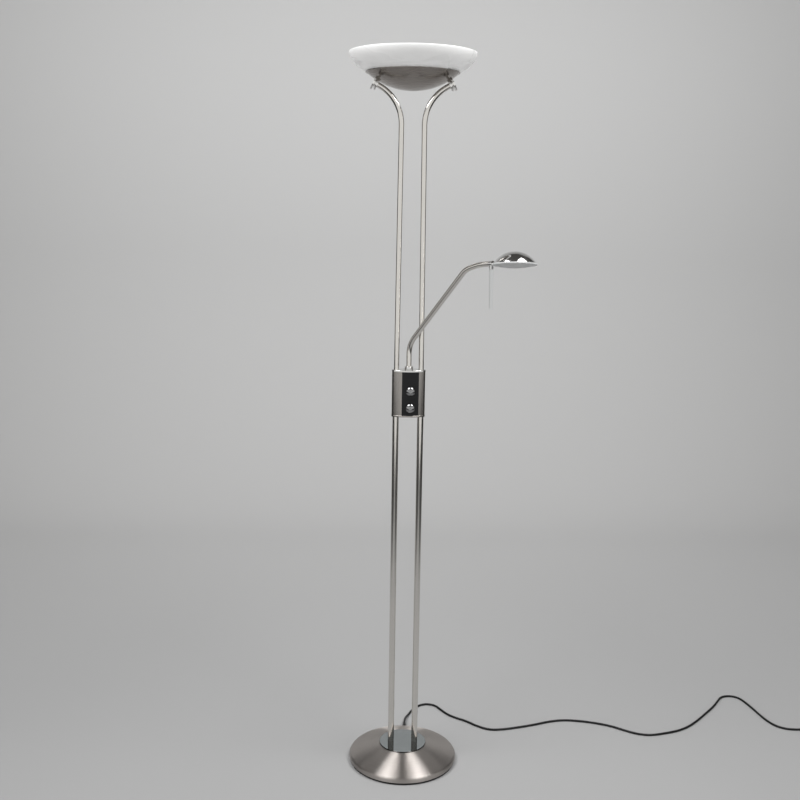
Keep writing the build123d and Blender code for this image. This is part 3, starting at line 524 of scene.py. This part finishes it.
def make_backdrop():
    """A pale grey paper sweep under and behind the lamp. It is one-sided, so that it hides
    nothing from behind. Its upright part is painted paler than its floor: painted light. Its
    flanks carry painted shade: dark to every ray but the camera's own, which draws the tubes'
    edges."""
    front = -3.2
    bend_start = 1.9
    bend_radius = 1.2
    top = 5.5
    half_width = 8.0
    wall_tone = (0.3, 2.4)  # along Y, from the floor's grey to the wall's paler grey: painted light
    flank_tone = (1.3, 2.2)  # across X at Y = 0, from the paper's grey to the painted shade
    flank_slope = -0.4  # the pale strip widens towards the back
    profile = [(front, 0.0), (bend_start, 0.0)]
    steps = 24
    for i in range(1, steps + 1):
        angle = pi / 2 * i / steps
        profile.append((bend_start + bend_radius * sin(angle), bend_radius * (1 - cos(angle))))
    profile.append((bend_start + bend_radius, top))
    mesh = bpy.data.meshes.new("backdrop")
    vertices = [(side * half_width, y, z) for y, z in profile for side in (-1, 1)]
    faces = [(2 * i, 2 * i + 1, 2 * i + 3, 2 * i + 2) for i in range(len(profile) - 1)]
    mesh.from_pydata(vertices, [], faces)
    for polygon in mesh.polygons:
        polygon.use_smooth = True
    backdrop = bpy.data.objects.new("backdrop", mesh)
    scene.collection.objects.link(backdrop)
    material, tree, shader = new_material("backdrop_paper")
    here = place(tree)
    split = add(tree, "ShaderNodeSeparateXYZ", {0: here})
    grain = noise(tree, here, 900.0, detail=2.0)
    paper = tint(tree, grain, (0.425, 0.426, 0.428), (0.435, 0.436, 0.438))
    # painted light: the wall's grey is paler than the floor's
    wall = tint(tree, grain, (0.55, 0.55, 0.55), (0.56, 0.56, 0.56))
    painted_light_rise = ramp(tree, split.outputs[1], *wall_tone)
    lit = blend_colours(tree, painted_light_rise, paper, wall)
    sideways = calculate(tree, "ABSOLUTE", split.outputs[0])
    slanted = calculate(tree, "MULTIPLY_ADD", split.outputs[1], flank_slope, sideways)
    unseen = calculate(tree, "SUBTRACT", 1.0, camera_ray(tree))
    flank_shade_mask = calculate(tree, "MULTIPLY", ramp(tree, slanted, *flank_tone), unseen)
    # painted shade: a dark grey for the flanks, shown to every ray but the camera's
    painted_dark_flank = tint(tree, grain, (0.08, 0.08, 0.08), (0.09, 0.09, 0.09))
    tree.links.new(blend_colours(tree, flank_shade_mask, lit, painted_dark_flank), shader.inputs["Base Color"])
    shader.inputs["Roughness"].default_value = 0.9
    shader.inputs["Specular IOR Level"].default_value = 0.1
    behind = add(tree, "ShaderNodeNewGeometry").outputs["Backfacing"]
    clear = add(tree, "ShaderNodeBsdfTransparent").outputs[0]
    one_sided = add(tree, "ShaderNodeMixShader", {0: behind, 1: shader.outputs[0], 2: clear})
    tree.links.new(one_sided.outputs[0], tree.nodes["Material Output"].inputs["Surface"])
    dress(backdrop, material)


def make_softbox(name, azimuth, elevation, distance, size, power, target=(0, 0, 0.9)):
    """A soft lamp aimed at a point. Azimuth is counted from the front, positive to the
    viewer's right."""
    data = bpy.data.lights.new(name, "AREA")
    data.shape = "RECTANGLE"
    data.size, data.size_y = size
    data.energy = power
    lamp = bpy.data.objects.new(name, data)
    a = radians(azimuth)
    e = radians(elevation)
    aim = Vector(target)
    lamp.location = aim + distance * Vector((sin(a) * cos(e), -cos(a) * cos(e), sin(e)))
    lamp.rotation_euler = (aim - lamp.location).to_track_quat("-Z", "Y").to_euler()
    scene.collection.objects.link(lamp)


def make_world():
    """The studio round the sweep: pale behind the camera and dark at the sides and overhead,
    as the metal mirrors it, and plain grey where the camera itself looks past the sweep."""
    rear = (-0.15, 0.25)  # share of a direction along -Y where the pale part starts and is full
    overhead = (0.25, 0.55)  # share along +Z where it begins to fade and is gone
    world = bpy.data.worlds.new("studio")
    scene.world = world
    world.use_nodes = True
    tree = world.node_tree
    background = tree.nodes["Background"]
    where = add(tree, "ShaderNodeTexCoord")
    split = add(tree, "ShaderNodeSeparateXYZ", {0: where.outputs["Generated"]})
    backwards = calculate(tree, "MULTIPLY", split.outputs[1], -1.0)
    low_down = calculate(tree, "SUBTRACT", 1.0, ramp(tree, split.outputs[2], *overhead))
    pale = calculate(tree, "MULTIPLY", ramp(tree, backwards, *rear), low_down)
    colour = tint(tree, pale, (0.08, 0.077, 0.073), (0.86, 0.86, 0.85))
    plain = add(tree, "ShaderNodeRGB").outputs[0]
    plain.default_value = (0.5, 0.5, 0.5, 1)
    shown = blend_colours(tree, camera_ray(tree), colour, plain)
    tree.links.new(shown, background.inputs["Color"])
    background.inputs["Strength"].default_value = 1.0


make_backdrop()
make_softbox("softbox_left", azimuth=-60, elevation=58, distance=2.8, size=(1.5, 1.5), power=62)
make_softbox("softbox_right", azimuth=62, elevation=58, distance=2.8, size=(1.55, 1.5), power=62)
make_softbox(
    "wall_light", azimuth=0, elevation=50, distance=2.3, size=(4.2, 0.8), power=11, target=(0, 3.1, 0.8))
make_world()

scene.view_settings.view_transform = "Standard"
